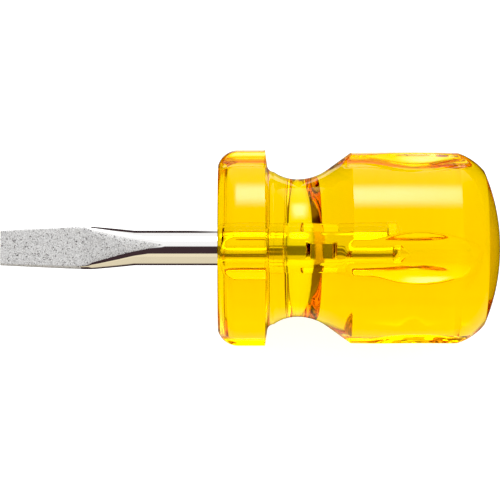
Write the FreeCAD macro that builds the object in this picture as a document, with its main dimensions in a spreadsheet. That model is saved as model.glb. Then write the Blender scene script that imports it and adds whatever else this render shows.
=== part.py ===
"""A stubby slotted screwdriver lying at rest: a forged steel blade in a fluted plastic handle.

The tool's axis lies along X, the blade's tip towards -X, and the handle stands on the two lips of the flute
that faces straight down. The origin is at the middle of the bounding box, at its foot. Millimetres, +Z up.
Each piece is drawn about its own axis along X, with one flute and one wing of the tang facing +Z. X = 0 is
at the blade's tip, or at the handle's front face. Its Placement rolls the piece and lays it down.
"""
import FreeCAD, Part
import math
import os
import Sketcher

DRIVING = [
    # the blade, stations measured from its tip
    ("exposed_length", 37.7),
    ("shank_diameter", 6.0),
    ("tip_width", 6.0),
    ("tip_thickness", 0.9),
    ("paddle_station", 14.2),
    ("paddle_width", 7.2),
    ("paddle_thickness", 2.6),
    ("flare_station", 15.8),
    ("flare_width", 7.4),
    ("swell_station", 19.3),
    ("swell_width", 6.8),
    ("flare_start", 23.2),
    ("face_length", 28.4),
    ("face_blend", 9.4),
    ("face_turn", 15.5),
    # full heights of the elliptic sections that the two ground faces cut down
    ("tip_bulge", 16.0),
    ("paddle_bulge", 12.0),
    ("flare_bulge", 6.0),
    ("swell_bulge", 6.0),
    ("cut_height", 9.0),
    # the tang, depths measured from the handle's front face
    ("tang_length", 30.0),
    ("tang_chamfer", 0.8),
    ("wing_start", 15.0),
    ("wing_end", 23.4),
    ("wing_ramp", 1.6),
    ("wing_span", 8.4),
    ("wing_root", 2.0),
    ("wing_thickness", 2.2),
    ("swage_width", 4.6),
    ("swage_reach", 4.0),
    # the bore that holds it
    ("tang_gap", 0.03),
    ("bore_depth", 30.6),
    ("drill_point", 1.8),
    ("mouth_chamfer", 0.3),
    # the handle's turned outline, stations measured from its front face
    ("handle_length", 48.7),
    ("front_radius", 14.4),
    ("flange_shoulder", 3.5),
    ("flange_radius", 16.95),
    ("flange_end", 8.1),
    ("wall_foot", 8.45),
    ("wall_foot_radius", 14.4),
    ("waist_start", 9.6),
    ("waist_start_radius", 13.2),
    ("waist_middle", 13.7),
    ("waist_radius", 11.9),
    ("slope_start", 18.8),
    ("slope_start_radius", 13.53),
    ("grip_start", 22.9),
    ("grip_end_radius", 16.5),
    ("grip_crown", 0.08),
    ("grip_end", 41.3),
    ("shoulder_end", 45.9),
    ("shoulder_end_radius", 13.4),
    ("shoulder_arc", 10.0),
    # the flutes and the scoop halfway along each of them, whose floors are measured from the axis
    ("flute_count", 5),
    ("flute_radius", 6.0),
    ("flute_floor", 15.45),
    ("scoop_floor", 14.2),
    ("scoop_middle", 34.1),
    ("scoop_sweep", 20.0),
    ("scoop_swing", 120.0),
]

DERIVED = [
    ("overall_length", "=exposed_length + handle_length"),
    ("roll", "=180 / flute_count"),
    ("shank_radius", "=shank_diameter / 2"),
    ("tip_half", "=tip_thickness / 2"),
    ("paddle_half", "=paddle_thickness / 2"),
    # the last stretch of each face bends over to meet the shank without a step
    ("blend_start", "=face_length - face_blend"),
    ("blend_rise", "=(shank_radius - paddle_half) * face_blend"
                   " / (2 * (face_length - paddle_station) - face_blend)"),
    ("blend_height", "=shank_radius - blend_rise"),
    ("blend_arc", "=(face_blend^2 + blend_rise^2) / (2 * blend_rise)"),
    ("tang_end", "=exposed_length + tang_length"),
    ("tang_chamfer_start", "=tang_end - tang_chamfer"),
    ("tang_end_radius", "=shank_radius - tang_chamfer"),
    ("swage_half", "=swage_width / 2"),
    ("wing_half", "=wing_span / 2"),
    ("wing_front", "=exposed_length + wing_start"),
    ("wing_rear", "=exposed_length + wing_end"),
    ("ramp_front", "=wing_front + wing_ramp"),
    ("ramp_rear", "=wing_rear - wing_ramp"),
    ("slot_half", "=wing_half + tang_gap"),
    ("slot_front", "=wing_start - tang_gap"),
    ("slot_rear", "=wing_end + tang_gap"),
    ("slot_ramp_front", "=wing_start + wing_ramp - tang_gap"),
    ("slot_ramp_rear", "=wing_end - wing_ramp + tang_gap"),
    ("slot_thickness", "=wing_thickness + 2 * tang_gap"),
    ("bore_radius", "=shank_radius + tang_gap"),
    ("bore_mouth", "=bore_radius + mouth_chamfer"),
    ("bore_end", "=bore_depth + drill_point"),
    ("flange_corner", "=(flange_shoulder^2 + (flange_radius - front_radius)^2)"
                      " / (2 * (flange_radius - front_radius))"),
    ("wall_fillet", "=((waist_start - wall_foot)^2 + (wall_foot_radius - waist_start_radius)^2)"
                    " / (2 * (waist_start - wall_foot))"),
    ("waist_front_arc", "=((waist_middle - waist_start)^2 + (waist_start_radius - waist_radius)^2)"
                        " / (2 * (waist_start_radius - waist_radius))"),
    ("waist_rear_arc", "=((slope_start - waist_middle)^2 + (slope_start_radius - waist_radius)^2)"
                       " / (2 * (slope_start_radius - waist_radius))"),
    ("grip_arc", "=((grip_end - grip_start)^2 / 4 + grip_crown^2) / (2 * grip_crown)"),
    ("dome_arc", "=(shoulder_end_radius^2 + (handle_length - shoulder_end)^2)"
                 " / (2 * (handle_length - shoulder_end))"),
    ("flute_centre", "=flute_floor + flute_radius"),
    ("scoop_centre", "=scoop_floor + flute_radius"),
    ("scoop_pivot", "=scoop_floor + scoop_sweep"),
    # where a flute's lips meet the flange's rim, measured square to the floor they stand on
    ("axis_height", "=(flange_radius^2 + flute_centre^2 - flute_radius^2) / (2 * flute_centre)"),
]


def make_sheet(doc):
    """The dimensions, one row each: the name, then the number or formula under the same alias."""
    sheet = doc.addObject("Spreadsheet::Sheet", "dims")
    for row, (alias, value) in enumerate(DRIVING + DERIVED, start=1):
        sheet.set(f"A{row}", alias)
        sheet.set(f"B{row}", str(value))
        sheet.setAlias(f"B{row}", alias)
    doc.recompute()
    return sheet


def origin_feature(body, role):
    """One of the body's own origin planes or axes."""
    return next(f for f in body.Origin.OriginFeatures if f.Role == role)


def new_sketch(body, name, plane, station=None, turned=None):
    """A sketch on one of the body's origin planes.

    station names how far it is moved along its normal. turned names the angle that it is turned about the
    body's X axis, which is the normal of YZ_Plane and the horizontal of the other two.
    """
    sketch = body.newObject("Sketcher::SketchObject", name)
    sketch.AttachmentSupport = [(origin_feature(body, plane), "")]
    sketch.MapMode = "FlatFace"
    if turned:
        body_x = FreeCAD.Vector(0, 0, 1) if plane == "YZ_Plane" else FreeCAD.Vector(1, 0, 0)
        sketch.AttachmentOffset = FreeCAD.Placement(FreeCAD.Vector(), FreeCAD.Rotation(body_x, 1))
        bind(sketch, "AttachmentOffset.Rotation.Angle", turned)
    if station:
        bind(sketch, "AttachmentOffset.Base.z", station)
    return sketch


def bind(feature, path, name):
    """Ties a property to a dimension. A minus sign before the name turns it round."""
    feature.setExpression(path, f"-dims.{name[1:]}" if name.startswith("-") else f"dims.{name}")


def size_of(sheet, name):
    """A dimension's number, with 0 standing for itself."""
    if name == "0":
        return 0.0
    sign = -1.0 if name.startswith("-") else 1.0
    return sign * float(sheet.get(name.lstrip("-")))


def pin_point(sketch, sheet, geometry, end, corner):
    """Holds one end of a line or arc at a corner whose two coordinates are named dimensions."""
    axes = (("DistanceX", -2), ("DistanceY", -1))
    for (kind, axis), name in zip(axes, corner):
        if name == "0":
            sketch.addConstraint(Sketcher.Constraint("PointOnObject", geometry, end, axis))
        else:
            index = sketch.addConstraint(Sketcher.Constraint(kind, geometry, end, size_of(sheet, name)))
            bind(sketch, f"Constraints[{index}]", name)


def arc_middle(start, end, radius, side):
    """The halfway point of the short arc between two points; side is 1 where it bulges to the left."""
    chord = end - start
    half = chord.Length / 2
    rise = radius - math.sqrt(radius ** 2 - half ** 2)
    left = FreeCAD.Vector(-chord.y, chord.x, 0).normalize()
    return (start + end) / 2 + left * rise * side


def draw_outline(sketch, sheet, corners, arcs=None):
    """Draws a closed outline through named corners, fully constrained.

    corners holds (x, y) names. arcs maps the number of a side to (radius name, bulge), where bulge is 1 for
    an arc that swells to the left of the way round and -1 for one that swells to the right.
    """
    arcs = arcs or {}
    points = [FreeCAD.Vector(size_of(sheet, x), size_of(sheet, y), 0) for x, y in corners]
    ends = []
    for side, start in enumerate(points):
        stop = points[(side + 1) % len(points)]
        if side not in arcs:
            index = sketch.addGeometry(Part.LineSegment(start, stop))
            ends.append((index, 1, 2))
            continue
        radius, bulge = arcs[side]
        middle = arc_middle(start, stop, size_of(sheet, radius), bulge)
        # a sketch's arc always runs anticlockwise, so one that bulges to the left is drawn from its far end
        run = (stop, middle, start) if bulge > 0 else (start, middle, stop)
        index = sketch.addGeometry(Part.Arc(*run))
        ends.append((index, 2, 1) if bulge > 0 else (index, 1, 2))
        number = sketch.addConstraint(Sketcher.Constraint("Radius", index, size_of(sheet, radius)))
        bind(sketch, f"Constraints[{number}]", radius)
    for side, (index, start_end, stop_end) in enumerate(ends):
        following = ends[(side + 1) % len(ends)]
        sketch.addConstraint(Sketcher.Constraint("Coincident", index, stop_end, following[0], following[1]))
        pin_point(sketch, sheet, index, start_end, corners[side])


def draw_circle(sketch, sheet, centre, radius):
    """A circle whose centre is on the sketch's vertical axis."""
    middle = FreeCAD.Vector(0, size_of(sheet, centre), 0)
    index = sketch.addGeometry(Part.Circle(middle, FreeCAD.Vector(0, 0, 1), size_of(sheet, radius)))
    pin_point(sketch, sheet, index, 3, ("0", centre))
    number = sketch.addConstraint(Sketcher.Constraint("Radius", index, size_of(sheet, radius)))
    bind(sketch, f"Constraints[{number}]", radius)


def draw_ellipse(sketch, sheet, width, height):
    """An ellipse about the sketch's origin, its axes level and upright."""
    right = FreeCAD.Vector(size_of(sheet, width) / 2, 0, 0)
    top = FreeCAD.Vector(0, size_of(sheet, height) / 2, 0)
    tall = top.Length > right.Length
    long_end, short_end = (top, right) if tall else (right, top)
    long_name, short_name = (height, width) if tall else (width, height)
    index = sketch.addGeometry(Part.Ellipse(long_end, short_end, FreeCAD.Vector(0, 0, 0)))
    sketch.exposeInternalGeometry(index)
    sketch.addConstraint(Sketcher.Constraint("Coincident", index, 3, -1, 1))
    sketch.addConstraint(Sketcher.Constraint("Vertical" if tall else "Horizontal", index + 1))
    for axis, name in ((index + 1, long_name), (index + 2, short_name)):
        number = sketch.addConstraint(Sketcher.Constraint("Distance", axis, size_of(sheet, name)))
        bind(sketch, f"Constraints[{number}]", name)


def turn(body, kind, name, sketch):
    """Revolves a sketch right round the body's X axis, to add (Revolution) or to cut (Groove)."""
    feature = body.newObject(f"PartDesign::{kind}", name)
    feature.Profile = sketch
    feature.ReferenceAxis = (sketch, ["H_Axis"])
    feature.Angle = 360
    return feature


def cut_through(body, name, sketch):
    """Cuts a sketch's outline away on both sides of its plane."""
    pocket = body.newObject("PartDesign::Pocket", name)
    pocket.Profile = sketch
    pocket.Type = "ThroughAll"
    pocket.Midplane = True
    return pocket


def loft(body, name, sections, ruled):
    feature = body.newObject("PartDesign::AdditiveLoft", name)
    feature.Profile = sections[0]
    feature.Sections = sections[1:]
    feature.Ruled = ruled
    return feature


def wing_corners(front, rear, ramp_front, ramp_rear, span, root):
    """The eight corners of the tang's pair of wings, or of the pocket that they fill, seen from the side."""
    upper = [(front, root), (ramp_front, span), (ramp_rear, span), (rear, root)]
    lower = [(x, f"-{y}") for x, y in reversed(upper)]
    return upper + lower


def make_blade(doc, sheet):
    body = doc.addObject("PartDesign::Body", "blade")

    bar = new_sketch(body, "bar_outline", "XZ_Plane")
    draw_outline(bar, sheet, [
        ("flare_start", "0"), ("flare_start", "shank_radius"), ("tang_chamfer_start", "shank_radius"),
        ("tang_end", "tang_end_radius"), ("tang_end", "0")])
    turn(body, "Revolution", "bar", bar)

    # everything forged flat is turned about the axis from the plane of the wings
    neck_section = new_sketch(body, "flare_start_section", "YZ_Plane", "flare_start", "-face_turn")
    draw_circle(neck_section, sheet, "0", "shank_radius")
    sections = {}
    for name in ("swell", "flare", "paddle"):
        sections[name] = new_sketch(body, f"{name}_section", "YZ_Plane", f"{name}_station", "-face_turn")
        draw_ellipse(sections[name], sheet, f"{name}_width", f"{name}_bulge")
    tip_section = new_sketch(body, "tip_section", "YZ_Plane", turned="-face_turn")
    draw_ellipse(tip_section, sheet, "tip_width", "tip_bulge")
    loft(body, "flare", [neck_section, sections["swell"], sections["flare"]], ruled=False)
    loft(body, "paddle", [sections["flare"], sections["paddle"], tip_section], ruled=True)

    faces = new_sketch(body, "face_outline", "XZ_Plane", turned="-face_turn")
    above = [("0", "tip_half"), ("paddle_station", "paddle_half"), ("blend_start", "blend_height"),
             ("face_length", "shank_radius"), ("face_length", "cut_height"), ("0", "cut_height")]
    draw_outline(faces, sheet, above, {2: ("blend_arc", 1)})
    draw_outline(faces, sheet, [(x, f"-{y}") for x, y in above], {2: ("blend_arc", -1)})
    cut_through(body, "flat_faces", faces)

    swage = new_sketch(body, "swage_outline", "XY_Plane")
    beside = [("wing_front", "swage_half"), ("wing_rear", "swage_half"),
              ("wing_rear", "swage_reach"), ("wing_front", "swage_reach")]
    draw_outline(swage, sheet, beside)
    draw_outline(swage, sheet, [(x, f"-{y}") for x, y in beside])
    cut_through(body, "swage_flats", swage)

    wings = new_sketch(body, "wing_outline", "XZ_Plane")
    draw_outline(wings, sheet, wing_corners("wing_front", "wing_rear", "ramp_front", "ramp_rear",
                                            "wing_half", "wing_root"))
    pad = body.newObject("PartDesign::Pad", "wings")
    pad.Profile = wings
    pad.Midplane = True
    bind(pad, "Length", "wing_thickness")
    return body


def make_handle(doc, sheet):
    body = doc.addObject("PartDesign::Body", "handle")

    outline = new_sketch(body, "turned_outline", "XZ_Plane")
    draw_outline(outline, sheet, [
        ("0", "0"), ("0", "front_radius"), ("flange_shoulder", "flange_radius"),
        ("flange_end", "flange_radius"), ("wall_foot", "wall_foot_radius"),
        ("waist_start", "waist_start_radius"), ("waist_middle", "waist_radius"),
        ("slope_start", "slope_start_radius"), ("grip_start", "grip_end_radius"),
        ("grip_end", "grip_end_radius"), ("shoulder_end", "shoulder_end_radius"), ("handle_length", "0")],
        {1: ("flange_corner", 1), 4: ("wall_fillet", -1), 5: ("waist_front_arc", -1),
         6: ("waist_rear_arc", -1), 8: ("grip_arc", 1), 9: ("shoulder_arc", 1), 10: ("dome_arc", 1)})
    turn(body, "Revolution", "turned_bar", outline)

    # one straight cutter runs the whole way, above the waist, so it cuts the flange and the grip
    flute_section = new_sketch(body, "flute_section", "YZ_Plane")
    draw_circle(flute_section, sheet, "flute_centre", "flute_radius")
    flute = body.newObject("PartDesign::Pocket", "flute")
    flute.Profile = flute_section
    flute.Reversed = True
    bind(flute, "Length", "handle_length")

    # the same cutter, swung about a pivot outside the handle, deepens the flute halfway along the grip
    scoop_section = new_sketch(body, "scoop_section", "YZ_Plane", "scoop_middle")
    draw_circle(scoop_section, sheet, "scoop_centre", "flute_radius")
    pivot = size_of(sheet, "scoop_pivot")
    axis = scoop_section.addGeometry(
        Part.LineSegment(FreeCAD.Vector(0, pivot, 0), FreeCAD.Vector(pivot, pivot, 0)), True)
    pin_point(scoop_section, sheet, axis, 1, ("0", "scoop_pivot"))
    pin_point(scoop_section, sheet, axis, 2, ("scoop_pivot", "scoop_pivot"))
    scoop = body.newObject("PartDesign::Groove", "scoop")
    scoop.Profile = scoop_section
    scoop.ReferenceAxis = (scoop_section, ["Axis0"])
    scoop.Midplane = True
    bind(scoop, "Angle", "scoop_swing")
    doc.recompute()

    flutes = body.newObject("PartDesign::PolarPattern", "flutes")
    flutes.Originals = [flute, scoop]
    flutes.Axis = (origin_feature(body, "X_Axis"), [""])
    flutes.Angle = 360
    bind(flutes, "Occurrences", "flute_count")
    body.Tip = flutes
    doc.recompute()

    bore = new_sketch(body, "bore_outline", "XZ_Plane")
    draw_outline(bore, sheet, [
        ("0", "0"), ("0", "bore_mouth"), ("mouth_chamfer", "bore_radius"),
        ("bore_depth", "bore_radius"), ("bore_end", "0")])
    turn(body, "Groove", "bore", bore)

    pocket_outline = new_sketch(body, "wing_pocket_outline", "XZ_Plane")
    draw_outline(pocket_outline, sheet, wing_corners("slot_front", "slot_rear", "slot_ramp_front",
                                                     "slot_ramp_rear", "slot_half", "wing_root"))
    pocket = body.newObject("PartDesign::Pocket", "wing_pocket")
    pocket.Profile = pocket_outline
    pocket.Midplane = True
    bind(pocket, "Length", "slot_thickness")
    return body


def lay_down(body, station):
    """Rolls a piece so that a flute faces straight down, and puts it in the row's frame."""
    body.Placement = FreeCAD.Placement(FreeCAD.Vector(), FreeCAD.Rotation(FreeCAD.Vector(1, 0, 0), 1))
    body.setExpression("Placement.Base.x", station)
    bind(body, "Placement.Base.z", "axis_height")
    bind(body, "Placement.Rotation.Angle", "roll")


def check(doc):
    """Stops unless every object in the document recomputed and every sketch is fully constrained."""
    for item in doc.Objects:
        if {"Invalid", "Error"} & set(item.State):
            raise RuntimeError(f"{item.Name} did not recompute: {item.State}")
        if item.isDerivedFrom("Sketcher::SketchObject") and not item.FullyConstrained:
            raise RuntimeError(f"{item.Name} is not fully constrained")


def main():
    doc = FreeCAD.newDocument("screwdriver")
    sheet = make_sheet(doc)
    blade = make_blade(doc, sheet)
    handle = make_handle(doc, sheet)
    lay_down(blade, "-dims.overall_length / 2")
    lay_down(handle, "dims.exposed_length - dims.overall_length / 2")
    doc.recompute()
    check(doc)
    os.makedirs("parts", exist_ok=True)
    for body in (blade, handle):
        if body.Shape.isNull() or not body.Shape.isValid() or len(body.Shape.Solids) != 1:
            raise RuntimeError(f"{body.Label} is not one valid solid")
        body.Shape.exportStep(f"parts/{body.Label}.step")
        print(body.Label, round(body.Shape.Volume, 1), body.Shape.BoundBox)


main()
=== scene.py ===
"""Looks of a stubby slotted screwdriver: a clear amber handle and a plated, blasted blade.

It lies on pale paper under one wide soft light, seen square to its axis from above and in front.
"""
import math

import bpy
import numpy as np
from mathutils import Matrix, Vector


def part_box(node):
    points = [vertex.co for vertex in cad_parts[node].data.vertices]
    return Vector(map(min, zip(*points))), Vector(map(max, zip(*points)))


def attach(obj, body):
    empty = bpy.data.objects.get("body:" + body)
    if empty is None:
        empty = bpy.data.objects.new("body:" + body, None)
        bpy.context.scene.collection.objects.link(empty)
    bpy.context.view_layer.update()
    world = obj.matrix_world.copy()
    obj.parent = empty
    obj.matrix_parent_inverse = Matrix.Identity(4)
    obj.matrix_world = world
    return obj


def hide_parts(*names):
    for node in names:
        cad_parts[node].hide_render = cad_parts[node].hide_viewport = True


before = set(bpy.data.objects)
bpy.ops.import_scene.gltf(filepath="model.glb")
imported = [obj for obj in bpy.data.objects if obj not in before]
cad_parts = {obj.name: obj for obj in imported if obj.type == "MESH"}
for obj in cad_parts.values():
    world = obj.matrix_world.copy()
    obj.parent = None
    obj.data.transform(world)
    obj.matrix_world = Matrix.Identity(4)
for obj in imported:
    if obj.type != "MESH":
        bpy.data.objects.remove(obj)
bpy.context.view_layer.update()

MM = 0.001

blade_low, blade_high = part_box("blade")
handle_low, handle_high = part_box("handle")
AXIS = Vector((0.0, 0.0, (blade_low.z + blade_high.z) / 2))
LENGTH = handle_high.x - blade_low.x

# The handle in millimetres, stations measured from its front face: the CAD part's own sizes.
HANDLE_LENGTH = (handle_high.x - handle_low.x) / MM
FRONT_RADIUS = 14.4
FLANGE_RADIUS = (handle_high.y - handle_low.y) / 2 / MM
FLANGE_SHOULDER, FLANGE_END = 3.5, 8.1
WALL_FOOT, WALL_FOOT_RADIUS = 8.45, 14.4
WAIST_START, WAIST_START_RADIUS = 9.6, 13.2
WAIST_MIDDLE, WAIST_RADIUS = 13.7, 11.9
SLOPE_START, SLOPE_START_RADIUS = 18.8, 13.53
GRIP_START, GRIP_END, GRIP_END_RADIUS, GRIP_CROWN = 22.9, 41.3, 16.5, 0.08
SHOULDER_END, SHOULDER_END_RADIUS, SHOULDER_ARC = 45.9, 13.4, 10.0
# The bore and its slot are 0.02 tighter than the tang, so that plastic touches its round and its wings.
BORE_RADIUS, BORE_DEPTH, DRILL_POINT, MOUTH_CHAMFER = 2.98, 30.6, 1.8, 0.3
SLOT_FRONT, SLOT_REAR, SLOT_RAMP = 15.02, 23.38, 1.6
SLOT_HALF_WIDTH, SLOT_HALF_SPAN, SLOT_ROOT = 1.08, 4.18, 2.0

# The flutes: each is cut straight, then deepened in the grip by a scoop of the same cutter.
FLUTE_COUNT = 5
FLUTE_PITCH = 2 * math.pi / FLUTE_COUNT
FLUTE_RADIUS, FLUTE_FLOOR = 6.0, 15.45
SCOOP_FLOOR, SCOOP_MIDDLE, SCOOP_SWEEP = 14.2, 34.1, 20.0
ROLL = math.pi / FLUTE_COUNT
LIP_ROUND, EDGE_ROUND, SCOOP_ROUND = 0.25, 0.12, 0.8

# How finely the handle is divided: the outline's steps, the rings, and the angles at a lip and elsewhere.
OUTLINE_STEP = 0.02
RING_GAP, RING_SHARPNESS = 0.5, 7.5
LIP_ANGLE, LIP_REACH = math.radians(12.8), math.radians(3.2)
FINE_ANGLE, COARSE_ANGLE = math.radians(0.42), math.radians(1.8)

# Stands for a cut that doesn't reach a place; and the least divisor, which keeps a quotient finite.
FAR_OUT = 1000.0
TINY = 1e-6

# The blade in millimetres, stations measured from its tip.
EXPOSED_LENGTH = (handle_low.x - blade_low.x) / MM
BLADE_LENGTH = (blade_high.x - blade_low.x) / MM
SHANK_RADIUS, TIP_HALF, PADDLE_HALF = 3.0, 0.45, 1.3
PADDLE_STATION, FLARE_STATION, SWELL_STATION, FLARE_START = 14.2, 15.8, 19.3, 23.2
TIP_WIDTH, PADDLE_WIDTH, FLARE_WIDTH, SWELL_WIDTH = 6.0, 7.2, 7.4, 6.8
TIP_BULGE, PADDLE_BULGE = 16.0, 12.0
FACE_LENGTH, FACE_BLEND = 28.4, 9.4
FACE_EDGE_ROUND = 0.9
FACE_TURN = math.radians(15.5)
SIDES_BLASTED = 13.9
WING_FRONT, WING_REAR, WING_RAMP = EXPOSED_LENGTH + 15.0, EXPOSED_LENGTH + 23.4, 1.6
WING_HALF, WING_HALF_SPAN, WING_ROOT, SWAGE_HALF = 1.1, 4.2, 2.0, 2.3
TANG_CHAMFER = 0.8
BLADE_ANGLES = 360

# The camera looks down on the tool, square to its axis.
CAMERA_ELEVATION = math.radians(60.1)
LENS_MM = 200.0
SENSOR_MM = 36.0
VIEW_WIDTH = LENGTH * 1.002
VIEW_DROP = LENGTH * 0.004
TO_CAMERA = Vector((0, -math.cos(CAMERA_ELEVATION), math.sin(CAMERA_ELEVATION)))
IMAGE_UP = Vector((0, math.sin(CAMERA_ELEVATION), math.cos(CAMERA_ELEVATION)))

# The studio: its colours and brightness, the floor's place, and the soft light.
CREAM = (0.90, 0.80, 0.58)
DARK = (0.08, 0.07, 0.08)
WHITE = (1.0, 1.0, 1.0)
TENT_LIGHT = 1.15
FLOOR_SIZE, FLOOR_DROP = 4.0, 0.00002
# Where the painted white reflection behind the handle has a darker gap, beside the waist.
REFLECTION_GAP_X = 0.0105
SOFTBOX_ANGLE, SOFTBOX_DISTANCE, SOFTBOX_SHIFT = 65, 0.45, 0.01
SOFTBOX_WIDTH, SOFTBOX_HEIGHT, SOFTBOX_WATTS, SOFTBOX_EDGE = 0.34, 0.31, 2.3, 0.85
BLACK_LEVEL = (0.03, 0.04, 0.045)


# ---------------------------------------------------------------- the handle's shape

def arc_radius(run, rise):
    """The radius of an arc that starts along the run and has risen that much at its end."""
    return (run ** 2 + rise ** 2) / (2 * rise)


def line(start, stop, step):
    """Points from start towards stop, without the last."""
    start, stop = np.array(start, float), np.array(stop, float)
    count = max(1, int(math.ceil(np.linalg.norm(stop - start) / step)))
    return [start + (stop - start) * i / count for i in range(count)]


def arc(start, stop, radius, bulge, step):
    """Points along a short arc from start towards stop, without the last; bulge 1 swells left, -1 right."""
    start, stop = np.array(start, float), np.array(stop, float)
    chord = stop - start
    half = np.linalg.norm(chord) / 2
    left = np.array([-chord[1], chord[0]]) / (2 * half)
    centre = (start + stop) / 2 - left * math.sqrt(radius ** 2 - half ** 2) * bulge
    first = math.atan2(*(start - centre)[::-1])
    turn = -2 * math.asin(half / radius) * bulge
    count = max(2, int(math.ceil(abs(turn) * radius / step)))
    angles = [first + turn * i / count for i in range(count)]
    return [centre + radius * np.array([math.cos(a), math.sin(a)]) for a in angles]


def handle_outline(step):
    """The turned outline as (station, radius): along the bore, over the front face, back to the dome."""
    flange_drop = FLANGE_RADIUS - FRONT_RADIUS
    waist_front_rise = WAIST_START_RADIUS - WAIST_RADIUS
    waist_rear_rise = SLOPE_START_RADIUS - WAIST_RADIUS
    wall_drop = WALL_FOOT_RADIUS - WAIST_START_RADIUS
    points = []
    points += line((BORE_DEPTH + DRILL_POINT, 0), (BORE_DEPTH, BORE_RADIUS), step)
    points += line((BORE_DEPTH, BORE_RADIUS), (MOUTH_CHAMFER, BORE_RADIUS), step)
    points += line((MOUTH_CHAMFER, BORE_RADIUS), (0, BORE_RADIUS + MOUTH_CHAMFER), step)
    points += line((0, BORE_RADIUS + MOUTH_CHAMFER), (0, FRONT_RADIUS), step)
    points += arc((0, FRONT_RADIUS), (FLANGE_SHOULDER, FLANGE_RADIUS),
                  arc_radius(FLANGE_SHOULDER, flange_drop), 1, step)
    points += line((FLANGE_SHOULDER, FLANGE_RADIUS), (FLANGE_END, FLANGE_RADIUS), step)
    points += line((FLANGE_END, FLANGE_RADIUS), (WALL_FOOT, WALL_FOOT_RADIUS), step)
    points += arc((WALL_FOOT, WALL_FOOT_RADIUS), (WAIST_START, WAIST_START_RADIUS),
                  arc_radius(wall_drop, WAIST_START - WALL_FOOT), -1, step)
    points += arc((WAIST_START, WAIST_START_RADIUS), (WAIST_MIDDLE, WAIST_RADIUS),
                  arc_radius(WAIST_MIDDLE - WAIST_START, waist_front_rise), -1, step)
    points += arc((WAIST_MIDDLE, WAIST_RADIUS), (SLOPE_START, SLOPE_START_RADIUS),
                  arc_radius(SLOPE_START - WAIST_MIDDLE, waist_rear_rise), -1, step)
    points += line((SLOPE_START, SLOPE_START_RADIUS), (GRIP_START, GRIP_END_RADIUS), step)
    points += arc((GRIP_START, GRIP_END_RADIUS), (GRIP_END, GRIP_END_RADIUS),
                  arc_radius((GRIP_END - GRIP_START) / 2, GRIP_CROWN), 1, step)
    points += arc((GRIP_END, GRIP_END_RADIUS), (SHOULDER_END, SHOULDER_END_RADIUS), SHOULDER_ARC, 1, step)
    points += arc((SHOULDER_END, SHOULDER_END_RADIUS), (HANDLE_LENGTH, 0),
                  arc_radius(SHOULDER_END_RADIUS, HANDLE_LENGTH - SHOULDER_END), 1, step)
    points.append(np.array([HANDLE_LENGTH, 0.0]))
    return np.array(points)


def soften(points, step, reach):
    """Rounds an outline's corners by averaging each point with its neighbours; the two ends stay."""
    count = max(1, int(round(reach / step)))
    kernel = np.hanning(2 * count + 3)[1:-1]
    kernel /= kernel.sum()
    padded = np.pad(points, ((count, count), (0, 0)), mode="reflect", reflect_type="odd")
    return np.column_stack([np.convolve(padded[:, axis], kernel, mode="valid") for axis in (0, 1)])


def thin_out(points, coarse, sharpness):
    """Points along the same outline, at most coarse apart, and closer together where it turns."""
    chords = np.diff(points, axis=0)
    lengths = np.linalg.norm(chords, axis=1)
    headings = np.unwrap(np.arctan2(chords[:, 1], chords[:, 0]))
    turning = np.abs(np.gradient(headings)) / np.maximum(lengths, 1e-9)
    spread = np.convolve(turning, np.hanning(9) / np.hanning(9).sum(), mode="same")
    effort = np.concatenate([[0], np.cumsum(lengths * (1 / coarse + spread * sharpness))])
    wanted = np.linspace(0, effort[-1], int(math.ceil(effort[-1])) + 1)
    return np.column_stack([np.interp(wanted, effort, points[:, axis]) for axis in (0, 1)])


def smooth_min(a, b, reach):
    """The lesser of two heights, with the corner between them rounded over about that reach."""
    blend = np.clip(0.5 + 0.5 * (b - a) / reach, 0, 1)
    return b + (a - b) * blend - reach * blend * (1 - blend)


def straight_flute(angle):
    """How far from the axis the straight flute's surface is, at an angle from its middle."""
    centre = FLUTE_FLOOR + FLUTE_RADIUS
    inside = FLUTE_RADIUS ** 2 - (centre * np.sin(angle)) ** 2
    return np.where(inside > 0, centre * np.cos(angle) - np.sqrt(np.maximum(inside, 0)), FAR_OUT)


def scoop(station, angle):
    """The same for the scoop that deepens the flute: the cutter swung about a pivot outside the handle."""
    pivot = SCOOP_FLOOR + SCOOP_SWEEP
    ring = SCOOP_SWEEP - FLUTE_RADIUS
    radius = np.full(np.broadcast(station, angle).shape, SCOOP_FLOOR)
    for _ in range(12):
        inside = FLUTE_RADIUS ** 2 - (radius * np.sin(angle)) ** 2
        reach = ring + np.sqrt(np.maximum(inside, 0))
        height = pivot - np.sqrt(np.maximum(reach ** 2 - (station - SCOOP_MIDDLE) ** 2, 0))
        radius = height / np.cos(angle)
    return np.where(inside > 0, radius, FAR_OUT)


def flute_angles(fine, coarse):
    """Angles once round the handle, closer together at the lips of the flutes."""
    samples = np.linspace(-FLUTE_PITCH / 2, FLUTE_PITCH / 2, 2000)
    near_lip = np.exp(-((np.abs(samples) - LIP_ANGLE) / LIP_REACH) ** 4)
    effort = np.cumsum(1 / coarse + near_lip * (1 / fine - 1 / coarse))
    count = int(math.ceil(effort[-1] * (samples[1] - samples[0]) / 2)) * 2
    wanted = np.linspace(effort[0], effort[-1], count + 1)[:-1]
    one = np.interp(wanted, effort, samples)
    return np.concatenate([one + FLUTE_PITCH * i for i in range(FLUTE_COUNT)])


def from_flute(angles):
    """Each angle measured from the middle of the nearest flute."""
    return (angles + FLUTE_PITCH / 2) % FLUTE_PITCH - FLUTE_PITCH / 2


def wing_span(station, front, rear, widest, root, ramp):
    """How far the tang's wings, or the slot for them, reach from the axis, with a ramp at each end."""
    from_end = np.minimum(station - front, rear - station)
    return np.minimum(widest, root + (widest - root) / ramp * from_end)


def steepness(angle):
    """The sizes of an angle's sine and cosine, never quite nought."""
    return np.maximum(np.abs(np.sin(angle)), TINY), np.maximum(np.abs(np.cos(angle)), TINY)


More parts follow.
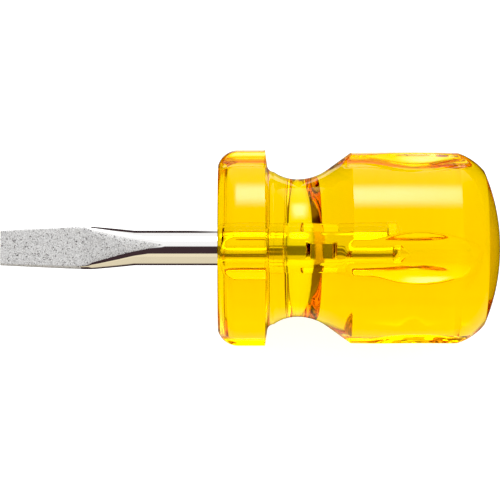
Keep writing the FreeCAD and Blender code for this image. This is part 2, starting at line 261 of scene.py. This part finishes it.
def spun(station, radius, angle):
    """Points (ring, angle, xyz) at each station along X, at that radius and angle about it."""
    along = np.broadcast_to(station, radius.shape)
    return np.stack([along, -radius * np.sin(angle), radius * np.cos(angle)], axis=-1)


def handle_surface():
    """Rings of points in millimetres over the bore, front face, flange, waist, grip and dome."""
    outline = soften(handle_outline(OUTLINE_STEP), OUTLINE_STEP, EDGE_ROUND)
    outline = thin_out(outline, RING_GAP, RING_SHARPNESS)
    angles = flute_angles(FINE_ANGLE, COARSE_ANGLE)
    station, radius = outline[:, :1], outline[:, 1:]
    inner = np.arange(len(outline)) <= np.argmax(outline[:, 1] > BORE_RADIUS + MOUTH_CHAMFER)
    in_flute = from_flute(angles)[None, :]
    flute = smooth_min(scoop(station, in_flute), straight_flute(in_flute), SCOOP_ROUND)
    outer = smooth_min(radius, flute, LIP_ROUND)
    sine, cosine = steepness(angles)
    span = wing_span(station, SLOT_FRONT, SLOT_REAR, SLOT_HALF_SPAN, SLOT_ROOT, SLOT_RAMP)
    slot = np.minimum(SLOT_HALF_WIDTH / sine, span / cosine)
    slotted = (station > SLOT_FRONT) & (station < SLOT_REAR)
    bore = np.where(slotted, np.maximum(radius, slot), radius)
    return spun(station, np.where(inner[:, None], bore, outer), angles)


def wrap(name, surface, front):
    """A closed mesh over rings of points, whose first and last rings are single points.

    It is turned so that two lips of the lowest flute touch the floor, and it rides on the one body.
    """
    rings, around_count = surface.shape[:2]
    lay_down = (Matrix.Translation((front, 0, AXIS.z)) @ Matrix.Rotation(ROLL, 4, "X")
                @ Matrix.Scale(MM, 4))
    body = surface[1:-1].reshape(-1, 3)
    vertices = [Vector(p) for p in np.vstack([body, surface[0, 0], surface[-1, 0]])]
    near, far = len(body), len(body) + 1
    faces = []
    for ring in range(rings - 3):
        for i in range(around_count):
            j = (i + 1) % around_count
            low, high = ring * around_count, (ring + 1) * around_count
            faces.append((low + i, low + j, high + j, high + i))
    last = (rings - 3) * around_count
    for i in range(around_count):
        j = (i + 1) % around_count
        faces.append((near, j, i))
        faces.append((last + i, last + j, far))
    mesh = bpy.data.meshes.new(name)
    mesh.from_pydata([lay_down @ v for v in vertices], [], faces)
    mesh.validate()
    mesh.polygons.foreach_set("use_smooth", [True] * len(mesh.polygons))
    obj = bpy.data.objects.new(name, mesh)
    bpy.context.scene.collection.objects.link(obj)
    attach(obj, "root")
    return obj


def make_handle():
    """The plastic handle, bore and all."""
    obj = wrap("handle_body", handle_surface(), handle_low.x)
    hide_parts("handle")
    obj.data.materials.append(amber())


# ---------------------------------------------------------------- the blade's shape

def face_height(station):
    """How far a ground face stands from the axis at a station from the tip."""
    slope = (SHANK_RADIUS - PADDLE_HALF) / (FACE_LENGTH - PADDLE_STATION - FACE_BLEND / 2)
    taper = TIP_HALF + (PADDLE_HALF - TIP_HALF) * station / PADDLE_STATION
    rise = PADDLE_HALF + slope * (station - PADDLE_STATION)
    runout = SHANK_RADIUS - slope * (FACE_LENGTH - station) ** 2 / (2 * FACE_BLEND)
    sloped = np.where(station < FACE_LENGTH - FACE_BLEND, rise, runout)
    height = np.where(station < PADDLE_STATION, taper, sloped)
    return np.where(station < FACE_LENGTH, height, FAR_OUT)


def half_width(station):
    """Half the blade's width across its faces: straight sides to the flare, then a curve to the shank."""
    forged = np.interp(station, (0, PADDLE_STATION, FLARE_STATION),
                       (TIP_WIDTH / 2, PADDLE_WIDTH / 2, FLARE_WIDTH / 2))
    curve = np.polyfit((FLARE_STATION, SWELL_STATION, FLARE_START),
                       (FLARE_WIDTH / 2, SWELL_WIDTH / 2, SHANK_RADIUS), 2)
    narrowing = np.where(station < FLARE_START, np.polyval(curve, station), SHANK_RADIUS)
    return np.where(station < FLARE_STATION, forged, narrowing)


def half_height(station):
    """Half the forged bar's other axis: longer towards the tip, which leaves its sides flatter there."""
    return np.interp(station, (0, PADDLE_STATION, FLARE_STATION),
                     (TIP_BULGE / 2, PADDLE_BULGE / 2, SHANK_RADIUS))


def blade_radius(station, angle):
    """The blade's radius at each station and angle, and how far inside the forged bar its faces are.

    That depth is in units of the rounding of the faces' edges, which is nearly sharp at the tip.
    """
    across, up = np.sin(angle + FACE_TURN), np.cos(angle + FACE_TURN)
    bar = 1 / np.sqrt((across / half_width(station)) ** 2 + (up / half_height(station)) ** 2)
    face = face_height(station) / np.maximum(np.abs(up), TINY)
    share = np.interp(station, (11.0, 17.0, 20.5, FACE_LENGTH), (0.06, 1.0, 1.0, 0.02))
    rounding = FACE_EDGE_ROUND * share
    return smooth_min(bar, face, rounding), (bar - face) / rounding


def tang_radius(station, angle):
    """The tang's radius: a round bar pressed flat on two sides, and so out into two wings."""
    pressed = (station >= WING_FRONT) & (station <= WING_REAR)
    span = wing_span(station, WING_FRONT, WING_REAR, WING_HALF_SPAN, WING_ROOT, WING_RAMP)
    sine, cosine = steepness(angle)
    swaged = np.minimum(SHANK_RADIUS, SWAGE_HALF / sine)
    wings = np.minimum(WING_HALF / sine, np.maximum(span, 0) / cosine)
    plain = np.minimum(SHANK_RADIUS, BLADE_LENGTH - station + SHANK_RADIUS - TANG_CHAMFER)
    return np.where(pressed, np.maximum(swaged, wings), plain)


def blade_stations():
    """Where the blade's rings are: close together along the flare and wings, and doubled at both ends."""
    tang_end = BLADE_LENGTH - TANG_CHAMFER
    return np.concatenate([
        [0, 0, 0.04],
        np.arange(0.4, 13.6, 0.4),
        np.arange(13.6, 29.0, 0.13),
        np.arange(29.0, EXPOSED_LENGTH, 0.9),
        [EXPOSED_LENGTH],
        np.arange(EXPOSED_LENGTH + 1, WING_FRONT - 0.2, 1.0),
        [WING_FRONT - 0.01, WING_FRONT],
        np.arange(WING_FRONT + 0.2, WING_REAR, 0.2),
        [WING_REAR, WING_REAR + 0.01],
        np.arange(WING_REAR + 0.5, tang_end, 0.8),
        [tang_end, BLADE_LENGTH, BLADE_LENGTH],
    ])


def finish_blade(obj, stations, ground):
    """Three finishes by face: bright plate, blasted steel on the faces and tip, bare steel on the tang."""
    for made in (chrome(), blasted(), drawn_steel()):
        obj.data.materials.append(made)
    bright, grey, bare = range(3)
    ground = (ground + np.roll(ground, -1, axis=1)) / 2
    rubbed = np.interp(stations, (16.0, 27.0), (0.25, 0.02))
    for polygon in obj.data.polygons:
        ring, side = divmod(polygon.index, BLADE_ANGLES)
        if ring >= len(stations) - 3:
            polygon.material_index = grey if polygon.center.x < 0 else bare
        elif stations[ring + 1] >= EXPOSED_LENGTH:
            polygon.material_index = bare
        elif stations[ring + 1] < SIDES_BLASTED or ground[ring + 1, side] > rubbed[ring + 1]:
            polygon.material_index = grey
        else:
            polygon.material_index = bright


def make_blade():
    """The whole blade from tip to tang, with the edges of its ground faces rubbed round by the polishing."""
    stations = blade_stations()
    station = stations[:, None]
    angle = np.linspace(0, 2 * math.pi, BLADE_ANGLES + 1)[None, :-1]
    exposed, ground = blade_radius(station, angle)
    radius = np.where(station <= EXPOSED_LENGTH, exposed, tang_radius(station, angle))
    radius[0] = radius[-1] = 0
    obj = wrap("blade_body", spun(station, radius, angle), blade_low.x)
    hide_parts("blade")
    finish_blade(obj, stations, ground)


# ---------------------------------------------------------------- materials

def material(name):
    """A new node material and its Principled shader."""
    made = bpy.data.materials.new(name)
    made.use_nodes = True
    return made, made.node_tree.nodes["Principled BSDF"]


class Wiring:
    """Short ways to add the nodes that the materials share."""

    def __init__(self, tree):
        self.nodes, self.links = tree.nodes, tree.links

    def join(self, source, target):
        """Links an output to an input."""
        self.links.new(source, target)

    def math(self, operation, first, second=None):
        """A Math node; each input is a socket or a number."""
        node = self.nodes.new("ShaderNodeMath")
        node.operation = operation
        for socket, value in zip(node.inputs, (first, second)):
            self.feed(socket, value)
        return node.outputs[0]

    def feed(self, socket, value):
        """Links a socket or sets a number; None leaves the input as it is."""
        if isinstance(value, bpy.types.NodeSocket):
            self.links.new(value, socket)
        elif value is not None:
            socket.default_value = value

    def position(self, scale=(1, 1, 1)):
        """Object coordinates in metres from the tool's axis, each multiplied by its own scale."""
        coords = self.nodes.new("ShaderNodeTexCoord")
        mapping = self.nodes.new("ShaderNodeMapping")
        mapping.vector_type = "TEXTURE"
        mapping.inputs["Location"].default_value = AXIS
        mapping.inputs["Scale"].default_value = [1 / part for part in scale]
        self.links.new(coords.outputs["Object"], mapping.inputs["Vector"])
        return mapping.outputs["Vector"]

    def noise(self, vector, scale, detail=2.0, roughness=0.5):
        """Noise between 0 and 1, with about that many grains in one unit of the vector."""
        node = self.nodes.new("ShaderNodeTexNoise")
        self.links.new(vector, node.inputs["Vector"])
        for name, value in (("Scale", scale), ("Detail", detail), ("Roughness", roughness)):
            node.inputs[name].default_value = value
        return node.outputs["Fac"]

    def ramp(self, value, stops):
        """A colour ramp; a stop is (position, grey) or (position, colour)."""
        node = self.nodes.new("ShaderNodeValToRGB")
        self.links.new(value, node.inputs["Fac"])
        elements = node.color_ramp.elements
        while len(elements) < len(stops):
            elements.new(0.5)
        for element, (place, colour) in zip(elements, stops):
            element.position = place
            shade = colour if isinstance(colour, tuple) else (colour,) * 3
            element.color = (*shade, 1)
        return node.outputs["Color"]

    def spread(self, value, low, high, to_low, to_high):
        """A smooth step: to_low where the value is low or less, and to_high where it is high or more."""
        node = self.nodes.new("ShaderNodeMapRange")
        node.interpolation_type = "SMOOTHSTEP"
        self.links.new(value, node.inputs["Value"])
        for name, number in (("From Min", low), ("From Max", high),
                             ("To Min", to_low), ("To Max", to_high)):
            self.feed(node.inputs[name], number)
        return node.outputs["Result"]

    def blend(self, factor, first, second):
        """A colour mix; first and second are colours or sockets."""
        node = self.nodes.new("ShaderNodeMix")
        node.data_type = "RGBA"
        self.feed(node.inputs["Factor"], factor)
        for socket, value in ((node.inputs[6], first), (node.inputs[7], second)):
            self.feed(socket, (*value, 1) if isinstance(value, tuple) else value)
        return node.outputs[2]

    def bump(self, height, distance, strength, normal=None):
        """A bump of that depth in metres, on top of another one where a normal is given."""
        node = self.nodes.new("ShaderNodeBump")
        node.inputs["Strength"].default_value = strength
        node.inputs["Distance"].default_value = distance
        self.links.new(height, node.inputs["Height"])
        if normal:
            self.links.new(normal, node.inputs["Normal"])
        return node.outputs["Normal"]


def amber():
    """Clear amber plastic with faint drawn and turned lines, scuffed where it stands furthest out.

    The dome's base colour is darker and mottled: painted shade. The colour comes mostly from absorption, so
    thick parts are deeper.
    """
    made, shader = material("amber_acetate")
    wire = Wiring(made.node_tree)
    shader.inputs["Transmission Weight"].default_value = 1.0
    shader.inputs["IOR"].default_value = 1.48
    absorb = wire.nodes.new("ShaderNodeVolumeAbsorption")
    absorb.inputs["Color"].default_value = (0.998, 0.957, 0.0, 1)
    absorb.inputs["Density"].default_value = 320.0
    wire.join(absorb.outputs["Volume"], wire.nodes["Material Output"].inputs["Volume"])

    drawn = wire.noise(wire.position((40, 2200, 2200)), 1.0, detail=2.0)
    turned = wire.noise(wire.position((2600, 60, 60)), 1.0, detail=2.0)
    lines = wire.bump(drawn, 0.00001, 0.12)
    lines = wire.bump(turned, 0.00001, 0.08, lines)
    wire.join(lines, shader.inputs["Normal"])

    parts = wire.nodes.new("ShaderNodeSeparateXYZ")
    wire.join(wire.position(), parts.inputs[0])
    along, across, up = parts.outputs["X"], parts.outputs["Y"], parts.outputs["Z"]
    dome_start = handle_low.x + SHOULDER_END * MM
    on_dome = wire.spread(along, dome_start - 0.0001, dome_start + 0.0001, 0.0, 1.0)
    # Painted shade: the dome's base colour is darkened, mottled by noise.
    dome_shade_mottle = wire.noise(wire.position(), 420.0, detail=3.0)
    dome_painted_shade = wire.blend(dome_shade_mottle, (0.58, 0.50, 0.36), (0.74, 0.64, 0.44))
    wire.join(wire.blend(on_dome, (1.0, 1.0, 0.5), dome_painted_shade), shader.inputs["Base Color"])
    squares = wire.math("ADD", wire.math("MULTIPLY", across, across), wire.math("MULTIPLY", up, up))
    radius = wire.math("SQRT", squares)
    proud = wire.spread(radius, (GRIP_END_RADIUS - 0.3) * MM, (FLANGE_RADIUS + 0.1) * MM, 0.0, 1.0)
    scratches = wire.noise(wire.position((160, 900, 900)), 1.0, detail=5.0)
    scuffs = wire.math("MULTIPLY", proud, wire.spread(scratches, 0.56, 0.72, 0.0, 1.0))
    haze = wire.spread(wire.noise(wire.position(), 90.0, detail=3.0), 0.3, 0.7, 0.006, 0.022)
    wire.join(wire.math("ADD", haze, wire.math("MULTIPLY", scuffs, 0.09)), shader.inputs["Roughness"])
    return made


def chrome():
    """Bright plate with fine polishing lines round the shank and a few faint smudges."""
    made, shader = material("chrome")
    wire = Wiring(made.node_tree)
    shader.inputs["Metallic"].default_value = 1.0
    smudge = wire.noise(wire.position(), 260.0, detail=3.0)
    wire.join(wire.blend(smudge, (0.84, 0.83, 0.82), (0.79, 0.785, 0.78)), shader.inputs["Base Color"])
    wire.join(wire.spread(smudge, 0.35, 0.75, 0.03, 0.10), shader.inputs["Roughness"])
    polish = wire.noise(wire.position((6000, 250, 250)), 1.0, detail=3.0)
    wire.join(wire.bump(polish, 0.000004, 0.2), shader.inputs["Normal"])
    return made


def blasted():
    """Pale satin grey, pitted all over by the grit, with small dark specks of painted shade where the pits
    are deep.
    """
    made, shader = material("blasted_steel")
    wire = Wiring(made.node_tree)
    shader.inputs["Metallic"].default_value = 0.6
    grit = wire.noise(wire.position(), 5200.0, detail=2.0, roughness=0.6)
    mottle = wire.noise(wire.position(), 1700.0, detail=4.0, roughness=0.7)
    specks = wire.noise(wire.position(), 3600.0, detail=1.0)
    tone = wire.ramp(mottle, ((0.30, 0.42), (0.50, 0.56), (0.70, 0.66)))
    tone = wire.blend(wire.spread(grit, 0.42, 0.62, 0.0, 0.9), tone, (0.84, 0.84, 0.835))
    # Painted shade: small dark specks where the pits are deep.
    depth = wire.math("ADD", specks, wire.math("MULTIPLY", mottle, 0.35))
    deep = wire.spread(depth, 0.46, 0.56, 1.0, 0.0)
    wire.join(wire.blend(deep, tone, (0.10, 0.10, 0.11)), shader.inputs["Base Color"])
    wire.join(wire.spread(mottle, 0.3, 0.7, 0.62, 0.42), shader.inputs["Roughness"])
    coarse = wire.bump(mottle, 0.00006, 0.5)
    wire.join(wire.bump(grit, 0.00003, 0.6, coarse), shader.inputs["Normal"])
    return made


def drawn_steel():
    """The tang: bare bar as it was drawn, with lines along it."""
    made, shader = material("drawn_steel")
    wire = Wiring(made.node_tree)
    shader.inputs["Metallic"].default_value = 1.0
    streak = wire.noise(wire.position((60, 2500, 2500)), 1.0, detail=3.0)
    wire.join(wire.blend(streak, (0.80, 0.74, 0.70), (0.88, 0.83, 0.79)), shader.inputs["Base Color"])
    wire.join(wire.spread(streak, 0.3, 0.7, 0.05, 0.12), shader.inputs["Roughness"])
    wire.join(wire.bump(streak, 0.00002, 0.35), shader.inputs["Normal"])
    return made


# ---------------------------------------------------------------- studio

def paper():
    """White paper that glows evenly where it is seen itself.

    What mirrors it sees a painted reflection on it instead: cream in front, white behind the handle, and
    dark painted shade elsewhere.
    Through the plastic it is brighter in front than behind.
    """
    made, shader = material("paper")
    wire = Wiring(made.node_tree)
    fibres = wire.noise(wire.position(), 900.0, detail=4.0)
    wire.join(wire.blend(fibres, (0.45, 0.45, 0.45), (0.40, 0.40, 0.40)), shader.inputs["Base Color"])
    wire.join(wire.bump(fibres, 0.0001, 0.3), shader.inputs["Normal"])
    shader.inputs["Roughness"].default_value = 0.8
    shader.inputs["Emission Color"].default_value = (1, 1, 1, 1)
    parts = wire.nodes.new("ShaderNodeSeparateXYZ")
    wire.join(wire.position(), parts.inputs[0])
    ray = wire.nodes.new("ShaderNodeLightPath")
    through = wire.spread(parts.outputs["Y"], -0.004, 0.016, 1.12, 0.62)
    glow = wire.spread(ray.outputs["Is Transmission Ray"], 0.0, 1.0, 0.82, through)
    wire.join(glow, shader.inputs["Emission Strength"])
    # Painted reflection, seen only by mirrors: cream in front, white behind the handle, dark painted shade
    # elsewhere.
    reflection_emission = wire.nodes.new("ShaderNodeEmission")
    in_front = wire.spread(parts.outputs["Y"], -0.014, -0.007, 1.0, 0.0)
    past_shank = wire.spread(parts.outputs["X"], -0.012, -0.002, 0.0, 1.0)
    before_dome = wire.spread(parts.outputs["X"], 0.036, 0.044, 1.0, 0.0)
    # A darker gap in the painted reflection, beside the waist.
    from_gap = wire.math("ABSOLUTE", wire.math("SUBTRACT", parts.outputs["X"], REFLECTION_GAP_X))
    past_gap = wire.spread(from_gap, 0.0065, 0.0085, 0.15, 1.0)
    behind = wire.math("MULTIPLY", wire.spread(parts.outputs["Y"], 0.004, 0.014, 0.0, 1.0),
                       wire.math("MULTIPLY", past_shank, before_dome))
    behind = wire.math("MULTIPLY", behind, past_gap)
    painted_reflection = wire.blend(behind, wire.blend(in_front, DARK, CREAM), WHITE)
    wire.join(painted_reflection, reflection_emission.inputs["Color"])
    mirrored = wire.math("MULTIPLY", ray.outputs["Is Reflection Ray"],
                         wire.math("SUBTRACT", 1.0, ray.outputs["Is Diffuse Ray"]))
    either = wire.nodes.new("ShaderNodeMixShader")
    wire.join(mirrored, either.inputs["Fac"])
    wire.join(shader.outputs["BSDF"], either.inputs[1])
    wire.join(reflection_emission.outputs["Emission"], either.inputs[2])
    wire.join(either.outputs["Shader"], wire.nodes["Material Output"].inputs["Surface"])
    return made


def add_floor():
    """The sheet of paper, a hair below the tool."""
    bpy.ops.mesh.primitive_plane_add(size=FLOOR_SIZE, location=(0, 0, -FLOOR_DROP))
    floor = bpy.context.active_object
    floor.name = "floor"
    floor.data.materials.append(paper())


def aim(obj, target):
    """Turns a light or camera to face a point."""
    obj.rotation_euler = (Vector(target) - obj.location).to_track_quat("-Z", "Y").to_euler()


def add_softbox(name, location, width, height, power, edge):
    """An area light whose brightness falls off towards its edges, over that share of its half width."""
    data = bpy.data.lights.new(name, "AREA")
    data.shape = "RECTANGLE"
    data.size, data.size_y = width, height
    data.energy = power
    data.use_nodes = True
    wire = Wiring(data.node_tree)
    spot = wire.nodes.new("ShaderNodeNewGeometry")
    parts = wire.nodes.new("ShaderNodeSeparateXYZ")
    wire.join(spot.outputs["Parametric"], parts.inputs[0])
    glow = None
    for side in ("X", "Y"):
        off_centre = wire.math("ABSOLUTE", wire.math("SUBTRACT", parts.outputs[side], 0.5))
        falloff = wire.spread(off_centre, 0.5 - edge / 2, 0.5, 1.0, 0.0)
        glow = wire.math("MULTIPLY", glow, falloff) if glow else falloff
    wire.join(glow, wire.nodes["Emission"].inputs["Strength"])
    lamp = bpy.data.objects.new(name, data)
    bpy.context.scene.collection.objects.link(lamp)
    lamp.location = location
    aim(lamp, AXIS)


def add_camera():
    """A long lens square to the tool's axis, with the tool filling the picture's width."""
    data = bpy.data.cameras.new("camera")
    data.lens = LENS_MM
    data.sensor_width = SENSOR_MM
    camera = bpy.data.objects.new("camera", data)
    bpy.context.scene.collection.objects.link(camera)
    centre = Vector(((blade_low.x + handle_high.x) / 2, 0, AXIS.z)) - IMAGE_UP * VIEW_DROP
    camera.location = centre + TO_CAMERA * VIEW_WIDTH * LENS_MM / SENSOR_MM
    aim(camera, centre)
    bpy.context.scene.camera = camera


def around(angle):
    """The direction that many degrees from the camera's, over the top of the picture."""
    turn = math.radians(angle)
    return TO_CAMERA * math.cos(turn) + IMAGE_UP * math.sin(turn)


def add_world():
    """What the tool mirrors: a white tent overhead and behind, dark round the camera, cream low in front.

    It dims past the dome and more past the tip. The camera and matt surfaces see plain white instead.
    """
    world = bpy.data.worlds.new("studio")
    bpy.context.scene.world = world
    world.use_nodes = True
    wire = Wiring(world.node_tree)
    background = wire.nodes["Background"]
    where = wire.nodes.new("ShaderNodeTexCoord")
    parts = wire.nodes.new("ShaderNodeSeparateXYZ")
    wire.join(where.outputs["Generated"], parts.inputs[0])
    angle = wire.math("ARCTAN2", parts.outputs["Z"], wire.math("MULTIPLY", parts.outputs["Y"], -1.0))
    tent = wire.ramp(wire.math("DIVIDE", angle, math.pi), (
        (0.0, CREAM), (20 / 180, CREAM),
        (24 / 180, DARK), (68 / 180, DARK),
        (74 / 180, WHITE), (1.0, WHITE)))
    beyond_dome = wire.spread(parts.outputs["X"], 0.35, 0.8, 1.0, 0.3)
    beyond_tip = wire.spread(parts.outputs["X"], -0.8, -0.35, 0.05, 1.0)
    ray = wire.nodes.new("ShaderNodeLightPath")
    through = wire.math("MULTIPLY", ray.outputs["Is Transmission Ray"], 0.2)
    wire.join(wire.blend(through, tent, WHITE), background.inputs["Color"])
    sides = wire.math("MULTIPLY", beyond_dome, beyond_tip)
    wire.join(wire.math("MULTIPLY", sides, TENT_LIGHT), background.inputs["Strength"])
    plain = wire.nodes.new("ShaderNodeBackground")
    plain.inputs["Color"].default_value = (1, 1, 1, 1)
    either = wire.nodes.new("ShaderNodeMixShader")
    wire.join(wire.math("MAXIMUM", ray.outputs["Is Camera Ray"], ray.outputs["Is Diffuse Ray"]),
              either.inputs["Fac"])
    wire.join(background.outputs["Background"], either.inputs[1])
    wire.join(plain.outputs["Background"], either.inputs[2])
    wire.join(either.outputs["Shader"], wire.nodes["World Output"].inputs["Surface"])


def develop():
    """Contrast of a printed photograph: what is nearly black prints black."""
    view = bpy.context.scene.view_settings
    view.view_transform = "Standard"
    view.use_curve_mapping = True
    view.curve_mapping.black_level = BLACK_LEVEL
    view.curve_mapping.update()


make_handle()
make_blade()
add_floor()
add_camera()
softbox_place = AXIS + around(SOFTBOX_ANGLE) * SOFTBOX_DISTANCE + Vector((SOFTBOX_SHIFT, 0, 0))
add_softbox("softbox", softbox_place, SOFTBOX_WIDTH, SOFTBOX_HEIGHT, SOFTBOX_WATTS, SOFTBOX_EDGE)
add_world()
develop()

# Enough bounces for light to pass through the handle's walls and come back off the tang.
cycles = bpy.context.scene.cycles
cycles.max_bounces = 24
cycles.transmission_bounces = 24
cycles.glossy_bounces = 12
